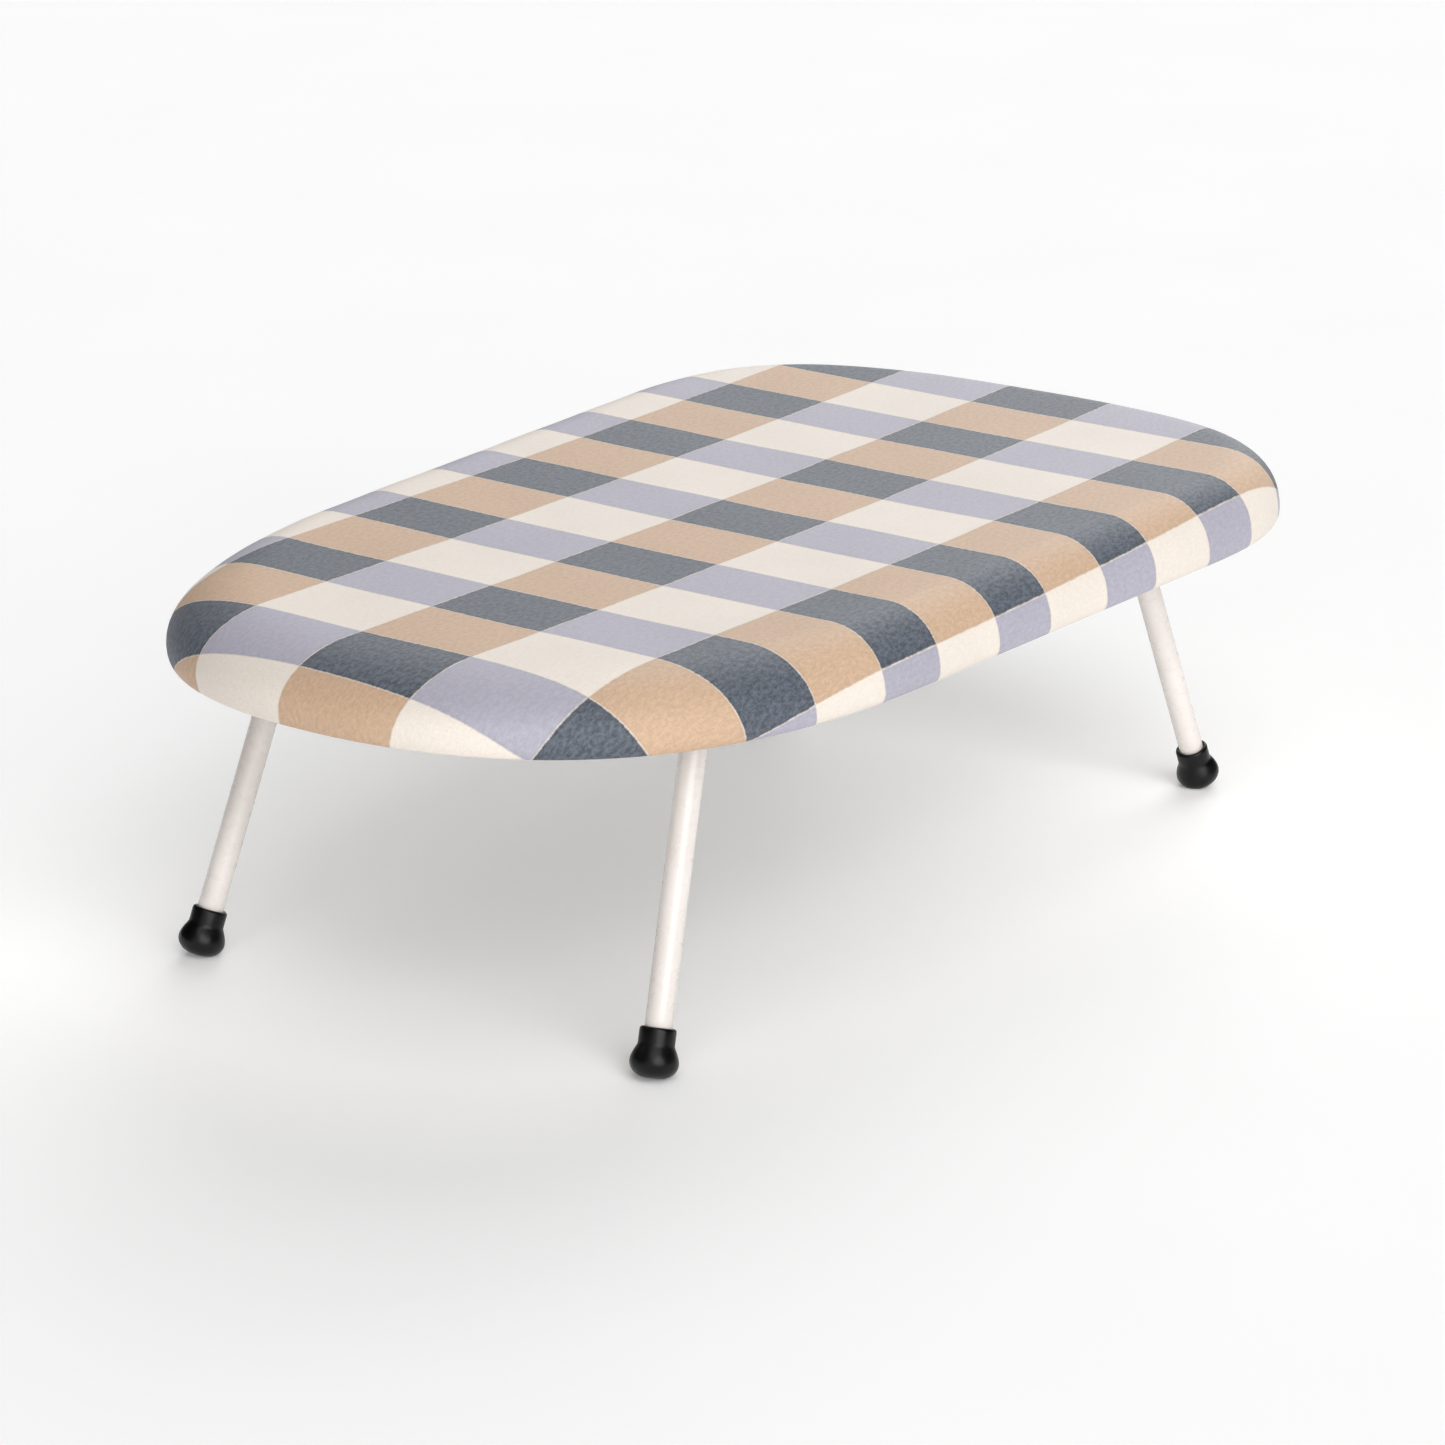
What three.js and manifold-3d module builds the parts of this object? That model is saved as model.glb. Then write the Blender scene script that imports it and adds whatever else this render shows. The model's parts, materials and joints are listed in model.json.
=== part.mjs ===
// Tabletop ironing board: a padded, fabric-covered deck on two folding U-shaped leg frames.
// Millimetres. +X points to the square tail, -X to the round nose, +Y across the board, +Z up.
// The origin is on the floor under the middle of the board.
import * as THREE from "three";
import { mergeVertices } from "three/addons/utils/BufferGeometryUtils.js";
import Module from "manifold-3d";

const wasm = await Module();
wasm.setup();

// ---- driving dimensions ----
const LENGTH = 600;
const HEIGHT = 177.9;
const GAP = 0.3; // clearance left between touching pieces

// Plan outline: straight sides that taper to the nose, a rounded nose and a squarish tail.
const HALF_WIDTH = 173.5; // at the middle of the length
const TAPER = 0.041; // growth of the half width per millimetre towards the tail
const NOSE_START = -53; // where the nose curve leaves the straight side
const NOSE_POWER_X = 3.39;
const NOSE_POWER_Y = 2.2;
const TAIL_START = 144; // where the tail corner leaves the straight side
const TAIL_POWER = 2.82;
const OUTLINE_POINTS = 64;

// Soft edge: a rounded fall from the flat top to the widest line, then a tuck in to the hem.
const EDGE_FALL = 33.3; // from the top to the hem
const EDGE_RUN = 27.8;
const EDGE_POWER = 2.12;
const EDGE_ANGLES = [0, 18, 36, 54, 72, 90]; // degrees, from the flat top to the widest line
const TUCK_HEIGHT = 6;
const TUCK_DEPTH = 2.5;
const CORNER_RISE = 1.8; // the turn from the side into the hem
const CORNER_RUN = 1.2;
const CORNER_TUCK = 0.4; // share of the tuck reached where that turn starts
// Towards the tip of the nose the roll is broader, the hem rises and the tuck fades out.
const NOSE_SHAPE_START = -120;
const NOSE_EXTRA_RUN = 19.1;
const NOSE_LIFT = 4.5;

// Cover, pad and elastic.
const COVER = 1.5;
const HEM_WIDTH = 31;
const ELASTIC_RADIUS = 1.5;
const ELASTIC_OFFSET = 29.5;
// The pad's underside over the rim: [inward from the rim's outer side, above the rim's middle].
const PAD_OVER_RIM = [[0, 2.2], [1.1, 4.6], [3.7, 7]];

// Steel deck: roll-formed rim, pierced panel and cross straps.
const RIM_RADIUS = 7;
const RIM_WALL = 1.2;
const RIM_OFFSET = 18.5; // rim centreline, in from the outside of the cover
const RIM_SEAM_HALF_ANGLE = 20; // open seam on the inner side of the rim
const PANEL = 1;
const PANEL_CELL_X = 66;
const PANEL_CELL_Y = 44;
const PANEL_HOLE_X = 44;
const PANEL_HOLE_Y = 26;
const PANEL_MARGIN = 40; // hole centres stay this far inside the outline
const STRAP = 2.5;
const STRAP_HALF_WIDTH = 24;
const REST_STRAP_HALF_WIDTH = 11;
const STRAP_END_OFFSET = 26.5;
const REST_STRAP_INSET = 6; // middle of a rest strap, in from the sole of a folded foot

// Leg frames: one bent tube each, turning in two saddles.
const TUBE_RADIUS = 6;
const TUBE_WALL = 1.1;
const NOSE_PIVOT_X = -175;
const TAIL_PIVOT_X = 185;
const LEG_LEAN = THREE.MathUtils.degToRad(20.3); // outward lean, seen from the side
const LEG_HALF_WIDTH_TOP = 110.8; // leg centreline at the height of the pivot
const LEG_HALF_WIDTH_FLOOR = 126.5;
const BEND_RADIUS = 22;
const BEND_STEPS = 6;

// Saddles, bushes and rivets.
const BUSH_WALL = 1.7;
const BUSH_TO_STRAP = 0.5;
const BUSH_LENGTH = 19;
const SADDLE_WALL = 1.8;
const SADDLE_LENGTH = 16;
const SADDLE_EAR = 23;
const SADDLE_Y = 80;
const RIVET_RADIUS = 2;
const RIVET_HEAD_RADIUS = 3.8;
const RIVET_HEAD_HEIGHT = 1.9;
const RIVET_X = 16.5;

// Stop tabs: the ends of the pivot straps bend down and catch the open legs.
const TAB_BOTTOM = 138.5;
const TAB_Y = [101, 121];
const NARROW_FROM_Y = 95;

// Rubber feet.
const FOOT_HEIGHT = 22;
const FOOT_SOLE = 5;
// From the domed sole up to the collar: [radius, height].
const FOOT_PROFILE = [
  [0, 0],
  [5.2, 0.5],
  [7.8, 1.7],
  [9.8, 3.8],
  [10.7, 6.6],
  [10.2, 9.6],
  [9, 12.4],
  [8, 14.4],
  [8, 21.2],
  [7.2, FOOT_HEIGHT],
];
const FOOT_SOLE_LIFT = 0.6; // height of the sole's centre before the sole is cut level

// ---- derived heights ----
const HEM_BOTTOM = HEIGHT - EDGE_FALL;
const RIM_Z = HEM_BOTTOM + NOSE_LIFT + COVER + GAP + RIM_RADIUS;
const STRAP_TOP = RIM_Z + RIM_RADIUS;
const STRAP_BOTTOM = STRAP_TOP - STRAP;
const PANEL_BOTTOM = STRAP_TOP + GAP;
const PANEL_TOP = PANEL_BOTTOM + PANEL;
const PAD_UNDERSIDE = PANEL_TOP + GAP;
const BUSH_INNER = TUBE_RADIUS + GAP;
const BUSH_OUTER = BUSH_INNER + BUSH_WALL;
const SADDLE_INNER = BUSH_OUTER + GAP;
const SADDLE_OUTER = SADDLE_INNER + SADDLE_WALL;
const SADDLE_TOP = STRAP_BOTTOM - GAP;
const PIVOT_Z = STRAP_BOTTOM - BUSH_TO_STRAP - BUSH_OUTER;

// ---- materials ----
const finish = (color, roughness, metalness = 0) =>
  new THREE.MeshStandardMaterial({ color, roughness, metalness });
const FINISHES = {
  cover: () => finish(0xb3aca8, 0.85),
  foam: () => finish(0xd9d6c8, 0.95),
  elastic: () => finish(0xe9e6e0, 0.8),
  whiteSteel: () => finish(0xece7e4, 0.32),
  deckSteel: () => finish(0xbfc1c2, 0.42, 0.85),
  plastic: () => finish(0x2a2b2d, 0.5),
  rivet: () => finish(0xa9abad, 0.35, 0.9),
  rubber: () => finish(0x17181a, 0.55),
};

const group = new THREE.Group();

function addPiece(parent, name, geometry, material) {
  const mesh = new THREE.Mesh(geometry, material);
  mesh.name = name;
  parent.add(mesh);
  return mesh;
}

// ---- solid helpers ----
function toSolid(geometry) {
  const bare = geometry.clone();
  bare.deleteAttribute("normal");
  bare.deleteAttribute("uv");
  const merged = mergeVertices(bare, 1e-4);
  return new wasm.Manifold(
    new wasm.Mesh({
      numProp: 3,
      vertProperties: new Float32Array(merged.attributes.position.array),
      triVerts: new Uint32Array(merged.index.array),
    }),
  );
}

function toGeometry(solid) {
  const mesh = solid.getMesh();
  const geometry = new THREE.BufferGeometry();
  geometry.setAttribute("position", new THREE.BufferAttribute(mesh.vertProperties, 3));
  geometry.setIndex(new THREE.BufferAttribute(mesh.triVerts, 1));
  geometry.computeVertexNormals();
  return geometry;
}

function box(x0, x1, y0, y1, z0, z1) {
  const geometry = new THREE.BoxGeometry(x1 - x0, y1 - y0, z1 - z0);
  return geometry.translate((x0 + x1) / 2, (y0 + y1) / 2, (z0 + z1) / 2);
}

// The hole for a rivet, through a plate that lies between two heights.
function rivetHole(x, y, z0, z1) {
  const radius = RIVET_RADIUS + GAP;
  const geometry = new THREE.CylinderGeometry(radius, radius, z1 - z0 + 2 * GAP, 12);
  return toSolid(geometry.rotateX(Math.PI / 2).translate(x, y, (z0 + z1) / 2));
}

// ---- plan outline ----
const halfWidthAt = (x) => HALF_WIDTH + TAPER * x;

function outlineCurve() {
  const nose = -LENGTH / 2;
  const tail = LENGTH / 2;
  const side = [];
  const steps = 200;
  for (let i = 0; i <= steps; i++) {
    const a = (i / steps) * (Math.PI / 2);
    const x = NOSE_START - (NOSE_START - nose) * Math.max(Math.cos(a), 0) ** (2 / NOSE_POWER_X);
    side.push(new THREE.Vector2(x, halfWidthAt(x) * Math.sin(a) ** (2 / NOSE_POWER_Y)));
  }
  for (let i = 0; i <= steps; i++) {
    const a = (i / steps) * (Math.PI / 2);
    const x = TAIL_START + (tail - TAIL_START) * Math.sin(a) ** (2 / TAIL_POWER);
    side.push(new THREE.Vector2(x, halfWidthAt(x) * Math.max(Math.cos(a), 0) ** (2 / TAIL_POWER)));
  }
  const mirrored = side.slice(1, -1).reverse().map((p) => new THREE.Vector2(p.x, -p.y));
  return [...side, ...mirrored];
}

// Evenly spaced stations round the outline, each with its outward normal and its own edge shape.
function outlineStations(count) {
  const points = outlineCurve();
  points.push(points[0]);
  const lengths = [0];
  for (let i = 1; i < points.length; i++) {
    lengths.push(lengths[i - 1] + points[i].distanceTo(points[i - 1]));
  }
  const total = lengths[lengths.length - 1];
  const pointAt = (s) => {
    const wanted = ((s % total) + total) % total;
    let i = lengths.findIndex((length) => length > wanted);
    i = Math.max(i, 1);
    const t = (wanted - lengths[i - 1]) / (lengths[i] - lengths[i - 1]);
    return points[i - 1].clone().lerp(points[i], t);
  };
  const stations = [];
  for (let i = 0; i < count; i++) {
    const s = (i / count) * total;
    const p = pointAt(s);
    const along = pointAt(s + 2).sub(pointAt(s - 2)).normalize();
    const toNose = Math.max(0, (NOSE_SHAPE_START - p.x) / (LENGTH / 2 + NOSE_SHAPE_START));
    stations.push({
      x: p.x,
      y: p.y,
      // the outline runs clockwise seen from above, so the outward normal is to its left
      nx: -along.y,
      ny: along.x,
      run: EDGE_RUN + NOSE_EXTRA_RUN * toNose,
      bottom: HEM_BOTTOM + NOSE_LIFT * toNose,
      tuck: TUCK_DEPTH * (1 - toNose),
    });
  }
  return stations;
}

const STATIONS = outlineStations(OUTLINE_POINTS);

function offsetOutline(offset) {
  return STATIONS.map((s) => new THREE.Vector2(s.x - s.nx * offset, s.y - s.ny * offset));
}

// Half the width of the space inside an offset outline, at its narrowest between two x values.
function innerHalfWidth(offset, x0, x1) {
  const points = offsetOutline(offset);
  let least = Infinity;
  for (let i = 0; i < points.length; i++) {
    const a = points[i];
    const b = points[(i + 1) % points.length];
    for (const x of [x0, x1]) {
      if ((a.x - x) * (b.x - x) <= 0 && a.x !== b.x) {
        const y = a.y + ((b.y - a.y) * (x - a.x)) / (b.x - a.x);
        least = Math.min(least, Math.abs(y));
      }
    }
  }
  return least;
}

// Sweeps a section, a list of [inset, z] made for each station, round the outline.
// An open section starts and ends on the middle of the board; a closed one makes a ring.
function sweepRoundOutline(sectionAt, closed) {
  const sections = STATIONS.map(sectionAt);
  const count = sections[0].length;
  const positions = [];
  STATIONS.forEach((s, i) => {
    for (const [inset, z] of sections[i]) {
      positions.push(s.x - s.nx * inset, s.y - s.ny * inset, z);
    }
  });
  const index = [];
  const n = STATIONS.length;
  const last = closed ? count : count - 1;
  for (let i = 0; i < n; i++) {
    const next = (i + 1) % n;
    for (let j = 0; j < last; j++) {
      const k = (j + 1) % count;
      const a = i * count + j;
      const b = next * count + j;
      const c = next * count + k;
      const d = i * count + k;
      index.push(a, b, c, a, c, d);
    }
  }
  if (!closed) {
    const first = positions.length / 3;
    positions.push(0, 0, sections[0][0][1]);
    positions.push(0, 0, sections[0][count - 1][1]);
    for (let i = 0; i < n; i++) {
      const next = (i + 1) % n;
      index.push(first, next * count, i * count);
      index.push(first + 1, i * count + count - 1, next * count + count - 1);
    }
  }
  const geometry = new THREE.BufferGeometry();
  geometry.setAttribute("position", new THREE.Float32BufferAttribute(positions, 3));
  geometry.setIndex(index);
  geometry.computeVertexNormals();
  return geometry;
}

// The soft edge, inset by a thickness: from the flat top down to the hem, as [inset, z] points.
function softEdge(s, thickness) {
  const widest = s.bottom + TUCK_HEIGHT;
  const fall = HEIGHT - thickness - widest;
  const roll = EDGE_ANGLES.map((degrees) => {
    const a = THREE.MathUtils.degToRad(degrees);
    const inset = s.run - (s.run - thickness) * Math.sin(a) ** (2 / EDGE_POWER);
    return [inset, widest + fall * Math.max(Math.cos(a), 0) ** (2 / EDGE_POWER)];
  });
  return [
    ...roll,
    [thickness + CORNER_TUCK * s.tuck, s.bottom + thickness + CORNER_RISE],
    [thickness + s.tuck + CORNER_RUN, s.bottom + thickness],
  ];
}

// ---- soft pieces ----
function coverGeometry() {
  return sweepRoundOutline((s) => {
    const hemEdge = [
      [HEM_WIDTH, s.bottom],
      [HEM_WIDTH, s.bottom + COVER],
    ];
    return [...softEdge(s, 0), ...hemEdge, ...softEdge(s, COVER).reverse()];
  }, false);
}

function padGeometry() {
  const skin = COVER + GAP;
  return sweepRoundOutline((s) => {
    const wall = RIM_OFFSET - RIM_RADIUS - GAP;
    return [
      ...softEdge(s, skin),
      [wall, s.bottom + skin],
      ...PAD_OVER_RIM.map(([inset, rise]) => [wall + inset, RIM_Z + rise]),
      [RIM_OFFSET, PAD_UNDERSIDE],
    ];
  }, false);
}

function elasticGeometry() {
  const sides = 5;
  return sweepRoundOutline((s) => {
    const middle = s.bottom + COVER + GAP + ELASTIC_RADIUS;
    const section = [];
    for (let k = 0; k < sides; k++) {
      const a = (k / sides) * 2 * Math.PI;
      section.push([ELASTIC_OFFSET - ELASTIC_RADIUS * Math.sin(a), middle + ELASTIC_RADIUS * Math.cos(a)]);
    }
    return section;
  }, true);
}

// ---- deck ----
function rimGeometry() {
  const arc = [];
  const steps = 7;
  const open = THREE.MathUtils.degToRad(RIM_SEAM_HALF_ANGLE);
  for (let k = 0; k <= steps; k++) {
    arc.push(-Math.PI / 2 + open + (k / steps) * (2 * Math.PI - 2 * open));
  }
  const at = (radius) => (a) => [RIM_OFFSET - radius * Math.sin(a), RIM_Z + radius * Math.cos(a)];
  return sweepRoundOutline(() => {
    const outer = arc.map(at(RIM_RADIUS));
    const inner = arc.map(at(RIM_RADIUS - RIM_WALL)).reverse();
    return [...outer, ...inner];
  }, true);
}

function panelGeometry() {
  const shape = new THREE.Shape(offsetOutline(RIM_OFFSET).reverse());
  const halfX = PANEL_HOLE_X / 2;
  const halfY = PANEL_HOLE_Y / 2;
  const columns = Math.ceil(LENGTH / PANEL_CELL_X);
  const rows = Math.ceil(HALF_WIDTH / PANEL_CELL_Y);
  for (let i = -columns; i <= columns; i++) {
    const x = (i * PANEL_CELL_X) / 2;
    if (Math.abs(x) > LENGTH / 2 - PANEL_MARGIN) continue;
    const reach = innerHalfWidth(PANEL_MARGIN, x - halfX / 2, x + halfX / 2);
    const shift = i % 2 === 0 ? 0 : PANEL_CELL_Y / 2;
    for (let j = -rows; j <= rows; j++) {
      const y = j * PANEL_CELL_Y + shift;
      if (!(Math.abs(y) + halfY < reach)) continue;
      const hole = new THREE.Path();
      hole.moveTo(x - halfX, y);
      hole.lineTo(x, y + halfY);
      hole.lineTo(x + halfX, y);
      hole.lineTo(x, y - halfY);
      hole.closePath();
      shape.holes.push(hole);
    }
  }
  const geometry = new THREE.ExtrudeGeometry(shape, { depth: PANEL, bevelEnabled: false });
  return geometry.translate(0, 0, PANEL_BOTTOM);
}

function plate(points, thickness, bottom) {
  const geometry = new THREE.ExtrudeGeometry(new THREE.Shape(points), {
    depth: thickness,
    bevelEnabled: false,
  });
  return geometry.translate(0, 0, bottom);
}

// A pivot strap, seen from its pivot: outward is the side the legs lean to.
function pivotStrapGeometry(pivotX, outward) {
  const wide = STRAP_HALF_WIDTH;
  const tabInner = (PIVOT_Z - TAB_BOTTOM) * Math.tan(LEG_LEAN) + TUBE_RADIUS / Math.cos(LEG_LEAN) + GAP;
  const tabOuter = tabInner + STRAP;
  const end = innerHalfWidth(STRAP_END_OFFSET, pivotX - wide, pivotX + wide);
  const half = [
    [-wide, end],
    [tabOuter, end],
    [tabOuter, NARROW_FROM_Y],
    [wide, NARROW_FROM_Y],
  ];
  const outline = [...half, ...half.map(([u, y]) => [u, -y]).reverse()];
  const points = outline.map(([u, y]) => new THREE.Vector2(pivotX + outward * u, y));
  if (THREE.ShapeUtils.area(points) < 0) points.reverse();
  let solid = toSolid(plate(points, STRAP, STRAP_BOTTOM));
  const xs = [pivotX + outward * tabInner, pivotX + outward * tabOuter].sort((a, b) => a - b);
  for (const side of [-1, 1]) {
    const ys = TAB_Y.map((y) => y * side).sort((a, b) => a - b);
    solid = solid.add(toSolid(box(xs[0], xs[1], ys[0], ys[1], TAB_BOTTOM, STRAP_BOTTOM + STRAP / 2)));
    for (const x of [-RIVET_X, RIVET_X]) {
      solid = solid.subtract(rivetHole(pivotX + x, side * SADDLE_Y, STRAP_BOTTOM, STRAP_TOP));
    }
  }
  return toGeometry(solid);
}

function restStrapGeometry(x) {
  const half = REST_STRAP_HALF_WIDTH;
  const end = innerHalfWidth(STRAP_END_OFFSET, x - half, x + half);
  return box(x - half, x + half, -end, end, STRAP_BOTTOM, STRAP_TOP);
}

// ---- pivots ----
function saddleGeometry() {
  const earTop = SADDLE_TOP - PIVOT_Z;
  const earBottom = earTop - SADDLE_WALL;
  const shape = new THREE.Shape();
  shape.moveTo(-SADDLE_EAR, earBottom);
  shape.lineTo(-SADDLE_OUTER, earBottom);
  shape.lineTo(-SADDLE_OUTER, 0);
  shape.absarc(0, 0, SADDLE_OUTER, Math.PI, 2 * Math.PI, false);
  shape.lineTo(SADDLE_OUTER, earBottom);
  shape.lineTo(SADDLE_EAR, earBottom);
  shape.lineTo(SADDLE_EAR, earTop);
  shape.lineTo(SADDLE_INNER, earTop);
  shape.lineTo(SADDLE_INNER, 0);
  shape.absarc(0, 0, SADDLE_INNER, 2 * Math.PI, Math.PI, true);
  shape.lineTo(-SADDLE_INNER, earTop);
  shape.lineTo(-SADDLE_EAR, earTop);
  shape.closePath();
  const strap = new THREE.ExtrudeGeometry(shape, {
    depth: SADDLE_LENGTH,
    bevelEnabled: false,
    curveSegments: 8,
  });
  strap.translate(0, 0, -SADDLE_LENGTH / 2).rotateX(Math.PI / 2);
  let solid = toSolid(strap);
  for (const x of [-RIVET_X, RIVET_X]) {
    solid = solid.subtract(rivetHole(x, 0, earBottom, earTop));
  }
  return toGeometry(solid);
}

function bushGeometry() {
  const half = BUSH_LENGTH / 2;
  const profile = [
    [BUSH_INNER, -half],
    [BUSH_OUTER, -half],
    [BUSH_OUTER, half],
    [BUSH_INNER, half],
    [BUSH_INNER, -half],
  ];
  return new THREE.LatheGeometry(profile.map(([r, y]) => new THREE.Vector2(r, y)), 16);
}

// A domed rivet, clinched flush with the top of the strap. Its origin is under the saddle's ear.
function rivetGeometry() {
  const shank = STRAP_TOP - (SADDLE_TOP - SADDLE_WALL);
  const profile = [
    [0, -GAP - RIVET_HEAD_HEIGHT],
    [0.55 * RIVET_HEAD_RADIUS, -GAP - 0.85 * RIVET_HEAD_HEIGHT],
    [0.9 * RIVET_HEAD_RADIUS, -GAP - 0.4 * RIVET_HEAD_HEIGHT],
    [RIVET_HEAD_RADIUS, -GAP],
    [RIVET_RADIUS, -GAP],
    [RIVET_RADIUS, shank],
    [0, shank],
  ];
  const points = profile.map(([r, y]) => new THREE.Vector2(r, y));
  return new THREE.LatheGeometry(points, 8).rotateX(Math.PI / 2);
}

// ---- leg frames ----
// A centreline with a cross-section only at each station: the ends of the straights and round the bends.
class StationCurve extends THREE.Curve {
  constructor(stations) {
    super();
    this.stations = stations;
  }
  station(t) {
    return Math.round(t * (this.stations.length - 1));
  }
  getPoint(t, target = new THREE.Vector3()) {
    return target.copy(this.stations[this.station(t)]);
  }
  getPointAt(u, target) {
    return this.getPoint(u, target);
  }
  getTangentAt(u, target = new THREE.Vector3()) {
    const i = this.station(u);
    const here = this.stations[i];
    target.set(0, 0, 0);
    if (i > 0) target.add(here.clone().sub(this.stations[i - 1]).normalize());
    if (i < this.stations.length - 1) target.add(this.stations[i + 1].clone().sub(here).normalize());
    return target.normalize();
  }
}

// The leg's direction in the plane of its frame, for the leg on the +Y side, pointing down.
const LEG_DROP = PIVOT_Z / Math.cos(LEG_LEAN);
const LEG_SPREAD = LEG_HALF_WIDTH_FLOOR - LEG_HALF_WIDTH_TOP;
const LEG_DIRECTION = new THREE.Vector3(0, LEG_SPREAD, -LEG_DROP).normalize();
const LEG_CORNER = new THREE.Vector3(0, LEG_HALF_WIDTH_TOP, 0);
const LEG_SPLAY = Math.atan2(LEG_DIRECTION.y, -LEG_DIRECTION.z);
// Length along the leg from the corner to the middle of the sole.
const LEG_LENGTH = (LEG_DROP - FOOT_SOLE_LIFT / Math.cos(LEG_LEAN)) / Math.cos(LEG_SPLAY);

function legPoint(distance, side) {
  const p = LEG_CORNER.clone().addScaledVector(LEG_DIRECTION, distance);
  return new THREE.Vector3(0, side * p.y, p.z);
}

function frameStations() {
  const turn = Math.PI / 2 - LEG_SPLAY;
  const tangent = BEND_RADIUS * Math.tan(turn / 2);
  const half = [new THREE.Vector3(0, 0, 0)];
  const centre = new THREE.Vector3(0, LEG_CORNER.y - tangent, -BEND_RADIUS);
  for (let k = 0; k <= BEND_STEPS; k++) {
    const a = (k / BEND_STEPS) * turn;
    const bend = new THREE.Vector3(0, BEND_RADIUS * Math.sin(a), BEND_RADIUS * Math.cos(a));
    half.push(bend.add(centre));
  }
  half.push(legPoint(LEG_LENGTH - FOOT_SOLE, 1));
  const mirrored = half.slice(1).reverse().map((p) => new THREE.Vector3(0, -p.y, p.z));
  return [...mirrored, ...half];
}

function legFrameGeometry() {
  const ring = (radius, sides) => {
    const points = [];
    for (let k = 0; k < sides; k++) {
      const a = (k / sides) * 2 * Math.PI;
      points.push(new THREE.Vector2(radius * Math.cos(a), radius * Math.sin(a)));
    }
    return points;
  };
  const shape = new THREE.Shape(ring(TUBE_RADIUS, 16));
  shape.holes.push(new THREE.Path(ring(TUBE_RADIUS - TUBE_WALL, 8)));
  const stations = frameStations();
  return new THREE.ExtrudeGeometry(shape, {
    steps: stations.length - 1,
    extrudePath: new StationCurve(stations),
  });
}

// A rubber foot about +Y: a collar, a round bulb and a domed sole that reaches y = 0. The bore for
// the tube is open at the top.
function footGeometry() {
  const bore = TUBE_RADIUS + GAP;
  const profile = [
    ...FOOT_PROFILE,
    [bore, FOOT_HEIGHT],
    [bore, FOOT_SOLE - GAP],
    [0, FOOT_SOLE - GAP],
  ];
  return new THREE.LatheGeometry(profile.map(([r, y]) => new THREE.Vector2(r, y)), 16);
}

// Cuts the dome level, so that the foot stands flat on the floor with the frame open.
function levelSole(foot) {
  foot.updateWorldMatrix(true, false);
  const floor = box(-LENGTH, LENGTH, -LENGTH, LENGTH, -FOOT_HEIGHT, 0);
  floor.applyMatrix4(foot.matrixWorld.clone().invert());
  foot.geometry = toGeometry(toSolid(foot.geometry).subtract(toSolid(floor)));
}

function addLegFrame(end, pivotX, outward) {
  const frame = new THREE.Group();
  frame.position.set(pivotX, 0, PIVOT_Z);
  frame.rotation.y = -outward * LEG_LEAN;
  group.add(frame);
  addPiece(frame, `${end}_leg_frame`, legFrameGeometry(), FINISHES.whiteSteel());
  for (const [label, side] of [["left", -1], ["right", 1]]) {
    const foot = addPiece(frame, `${end}_foot_${label}`, footGeometry(), FINISHES.rubber());
    foot.position.copy(legPoint(LEG_LENGTH, side));
    const up = new THREE.Vector3(0, -side * LEG_DIRECTION.y, -LEG_DIRECTION.z);
    foot.quaternion.setFromUnitVectors(new THREE.Vector3(0, 1, 0), up);
    levelSole(foot);
  }
}

function addPivots(end, pivotX, outward) {
  addPiece(group, `${end}_pivot_strap`, pivotStrapGeometry(pivotX, outward), FINISHES.deckSteel());
  for (const [label, side] of [["left", -1], ["right", 1]]) {
    const y = side * SADDLE_Y;
    const saddle = addPiece(group, `${end}_saddle_${label}`, saddleGeometry(), FINISHES.deckSteel());
    saddle.position.set(pivotX, y, PIVOT_Z);
    const bush = addPiece(group, `${end}_bush_${label}`, bushGeometry(), FINISHES.plastic());
    bush.position.set(pivotX, y, PIVOT_Z);
    for (const [place, dx] of [["outer", outward * RIVET_X], ["inner", -outward * RIVET_X]]) {
      const rivet = addPiece(group, `${end}_rivet_${label}_${place}`, rivetGeometry(), FINISHES.rivet());
      rivet.position.set(pivotX + dx, y, SADDLE_TOP - SADDLE_WALL);
    }
  }
}

// ---- assembly ----
addPiece(group, "fabric_cover", coverGeometry(), FINISHES.cover());
addPiece(group, "foam_pad", padGeometry(), FINISHES.foam());
addPiece(group, "hem_elastic", elasticGeometry(), FINISHES.elastic());
addPiece(group, "mesh_panel", panelGeometry(), FINISHES.deckSteel());
addPiece(group, "rim_tube", rimGeometry(), FINISHES.deckSteel());

// The folded feet come to rest under these two straps.
const foldedReach = LEG_DROP - REST_STRAP_INSET;
addPiece(group, "nose_rest_strap", restStrapGeometry(NOSE_PIVOT_X + foldedReach), FINISHES.deckSteel());
addPiece(group, "tail_rest_strap", restStrapGeometry(TAIL_PIVOT_X - foldedReach), FINISHES.deckSteel());

addPivots("nose", NOSE_PIVOT_X, -1);
addPivots("tail", TAIL_PIVOT_X, 1);
addLegFrame("nose", NOSE_PIVOT_X, -1);
addLegFrame("tail", TAIL_PIVOT_X, 1);

export default group;
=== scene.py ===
import json
import math

import bpy
import numpy as np
from mathutils import Matrix, Vector


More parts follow.
